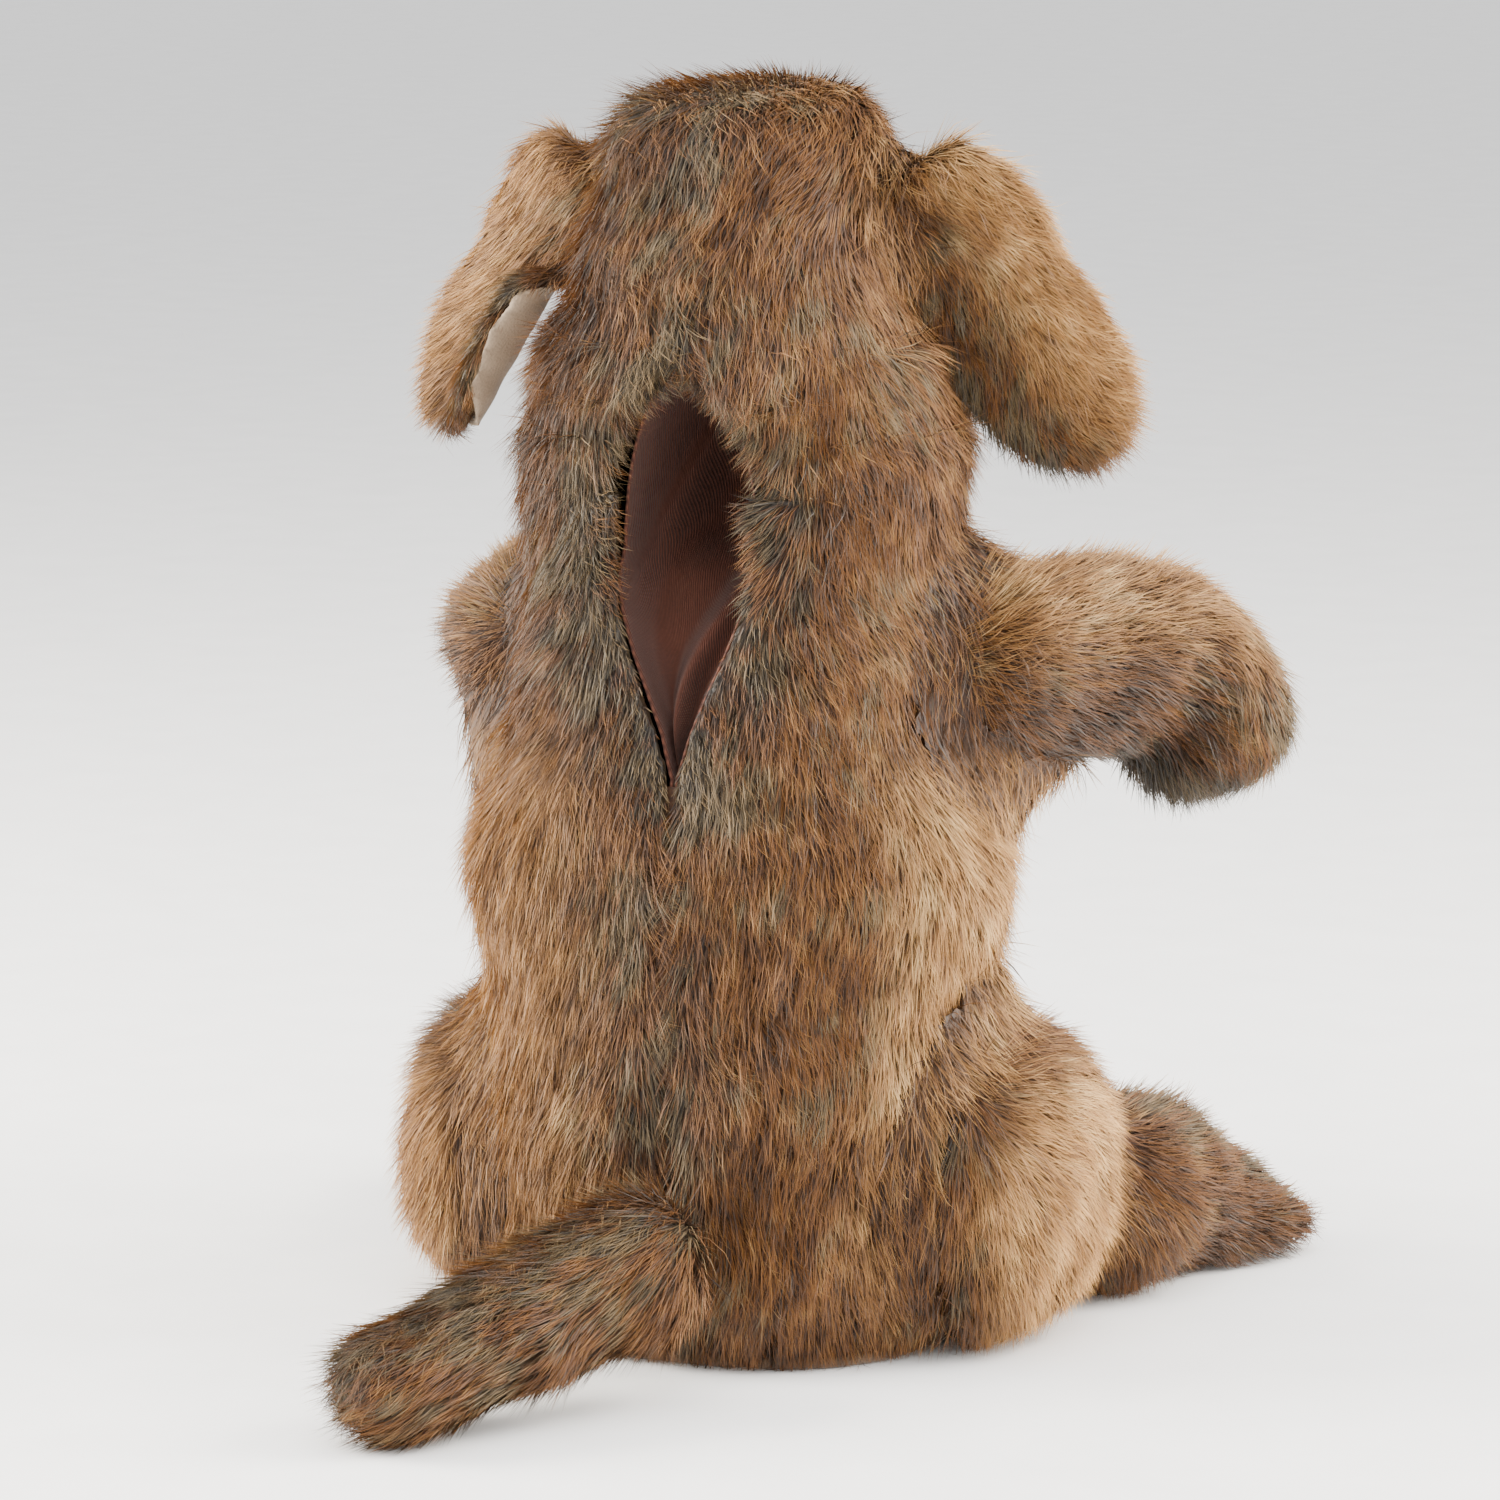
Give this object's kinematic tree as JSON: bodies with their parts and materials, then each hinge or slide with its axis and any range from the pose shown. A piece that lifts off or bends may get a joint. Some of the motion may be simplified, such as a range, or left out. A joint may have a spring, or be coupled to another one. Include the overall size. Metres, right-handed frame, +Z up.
{
  "type": "hand puppet",
  "caption": "Plush dog hand puppet that sits upright, with a slit in its back for a hand that moves its head, mouth and front legs.",
  "frame": {"origin": "middle of the flat seat, on the surface the puppet sits on", "axes": "+Z up, the dog faces -Y, its left side is +X"},
  "size_m": [0.2592, 0.2648, 0.329],
  "materials": {
    "fur": "faux fur pile, mottled",
    "dark_fur": "faux fur pile, grey brown",
    "lining": "ribbed knit, matt",
    "velour": "short velour",
    "filling": "polyester fibre",
    "mouth_cloth": "short velour on board",
    "tongue": "short velour",
    "nose": "grained, satin",
    "eye": "polished",
    "washer": "moulded"
  },
  "bodies": {
    "torso": {"back_panel_left": "fur", "back_panel_right": "fur", "belly_panel_left": "fur", "belly_panel_right": "fur", "base_panel": "dark_fur", "seat_filling": "filling", "lining_back_left": "lining", "lining_back_right": "lining", "lining_front": "lining"},
    "neck": {"neck_cover": "fur"},
    "head": {"head_cover": "fur", "head_filling": "filling", "head_lining": "lining", "muzzle_cover": "fur", "muzzle_filling": "filling", "upper_mouth_plate": "mouth_cloth", "nose": "nose", "eye_left": "eye", "eye_right": "eye", "eye_washer_left": "washer", "eye_washer_right": "washer"},
    "jaw": {"jaw_cover": "fur", "jaw_filling": "filling", "lower_mouth_plate": "mouth_cloth", "tongue": "tongue"},
    "ear_left": {"ear_fur_left": "fur", "ear_lining_left": "velour"},
    "shoulder_left": {"arm_cuff_left": "lining"},
    "arm_left": {"arm_sleeve_left": "fur", "arm_lining_left": "lining", "paw_cover_left": "fur", "paw_filling_left": "filling"},
    "leg_left": {"thigh_cover_left": "fur", "thigh_filling_left": "filling", "foot_cover_left": "fur", "foot_filling_left": "filling"},
    "ear_right": {"ear_fur_right": "fur", "ear_lining_right": "velour"},
    "shoulder_right": {"arm_cuff_right": "lining"},
    "arm_right": {"arm_sleeve_right": "fur", "arm_lining_right": "lining", "paw_cover_right": "fur", "paw_filling_right": "filling"},
    "leg_right": {"thigh_cover_right": "fur", "thigh_filling_right": "filling", "foot_cover_right": "fur", "foot_filling_right": "filling"},
    "tail": {"tail_cover": "dark_fur", "tail_filling": "filling"}
  },
  "joints": [
    {"name": "head_turn", "type": "hinge", "parent": "torso", "child": "neck", "pos_m": [0, -0.002, 0.25], "axis": [0, 0, 1], "range_deg": [-35, 35]},
    {"name": "head_nod", "type": "hinge", "parent": "neck", "child": "head", "pos_m": [0, -0.002, 0.25], "axis": [1, 0, 0], "range_deg": [-18, 20]},
    {"name": "jaw_open", "type": "hinge", "parent": "head", "child": "jaw", "pos_m": [0, -0.065, 0.267], "axis": [1, 0, 0], "range_deg": [0, 25], "stiffness_Nm_per_rad": 0.03, "springref_deg": -14.32},
    {"name": "ear_left_flop", "type": "hinge", "parent": "head", "child": "ear_left", "pos_m": [0.0425, -0.012, 0.309], "axis": [0.7684, -0.3107, 0.5595], "range_deg": [-12, 30], "stiffness_Nm_per_rad": 0.05},
    {"name": "ear_right_flop", "type": "hinge", "parent": "head", "child": "ear_right", "pos_m": [-0.0425, -0.012, 0.309], "axis": [0.7684, 0.3107, -0.5595], "range_deg": [-12, 30], "stiffness_Nm_per_rad": 0.05},
    {"name": "arm_left_swing", "type": "hinge", "parent": "torso", "child": "shoulder_left", "pos_m": [0.063, -0.022, 0.177], "axis": [0, 0, 1], "range_deg": [-2, 38]},
    {"name": "arm_left_raise", "type": "hinge", "parent": "shoulder_left", "child": "arm_left", "pos_m": [0.063, -0.022, 0.177], "axis": [-0.9903, -0.1392, 0], "range_deg": [-10, 25]},
    {"name": "arm_right_swing", "type": "hinge", "parent": "torso", "child": "shoulder_right", "pos_m": [-0.063, -0.022, 0.177], "axis": [0, 0, -1], "range_deg": [-28, 12]},
    {"name": "arm_right_raise", "type": "hinge", "parent": "shoulder_right", "child": "arm_right", "pos_m": [-0.063, -0.022, 0.177], "axis": [-0.809, 0.5878, 0], "range_deg": [-10, 25]},
    {"name": "leg_left_lift", "type": "hinge", "parent": "torso", "child": "leg_left", "pos_m": [0.0646, 0.006, 0.038], "axis": [-1, 0, 0], "range_deg": [0, 25]},
    {"name": "leg_right_lift", "type": "hinge", "parent": "torso", "child": "leg_right", "pos_m": [-0.0646, 0.006, 0.038], "axis": [-1, 0, 0], "range_deg": [0, 25]},
    {"name": "tail_wag", "type": "hinge", "parent": "torso", "child": "tail", "pos_m": [0, 0.078, 0.035], "axis": [0, 0, 1], "range_deg": [-12, 76]}
  ]
}
